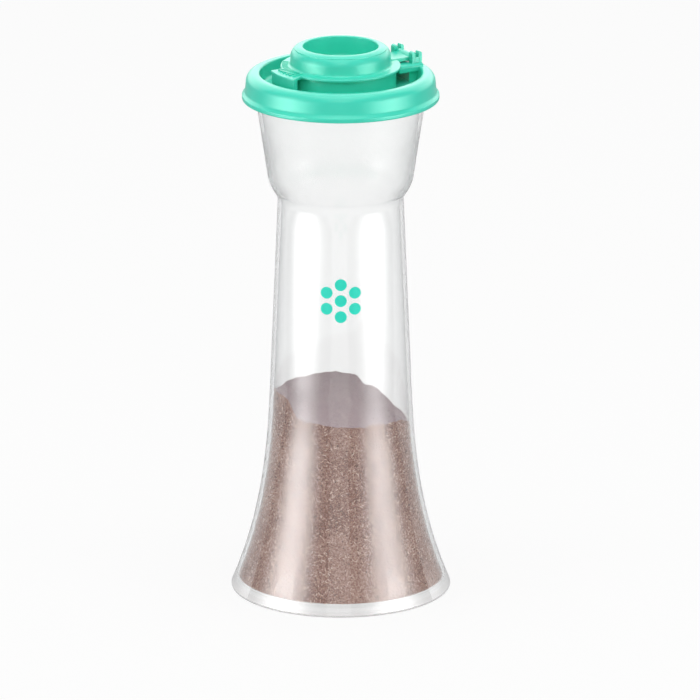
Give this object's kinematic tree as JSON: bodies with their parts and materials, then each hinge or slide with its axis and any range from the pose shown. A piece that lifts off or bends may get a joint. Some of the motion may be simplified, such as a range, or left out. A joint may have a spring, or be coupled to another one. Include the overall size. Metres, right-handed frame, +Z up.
{
  "type": "spice shaker",
  "caption": "Hourglass spice shaker: clear flared jar with ground spice, press-on sifter lid in teal plastic, and a flip cap with a finger well on a snap-in hinge.",
  "frame": {"origin": "middle of the footprint, on the surface that the shaker stands on", "axes": "+Z up along the axis of the jar, -Y towards the printed front, hinge of the cap 32 degrees from +X towards +Y"},
  "size_m": [0.0622, 0.0622, 0.158],
  "materials": {
    "clear_plastic": "clear, polished mould finish",
    "teal_plastic": "opaque, satin to gloss mould finish",
    "ground_spice": "loose brown powder with pale flecks"
  },
  "bodies": {
    "jar": {"jar": "clear_plastic", "spice": "ground_spice"},
    "lid": {"lid": "teal_plastic"},
    "flip_cap": {"flip_cap": "teal_plastic"}
  },
  "joints": [
    {"name": "lid_lift", "type": "slide", "parent": "jar", "child": "lid", "axis": [0, 0, 1], "range_m": [0, 0.03]},
    {"name": "cap_hinge", "type": "hinge", "parent": "lid", "child": "flip_cap", "pos_m": [0.01844, 0.01152, 0.1521], "axis": [-0.5299, 0.848, 0], "range_deg": [0, 195]}
  ]
}
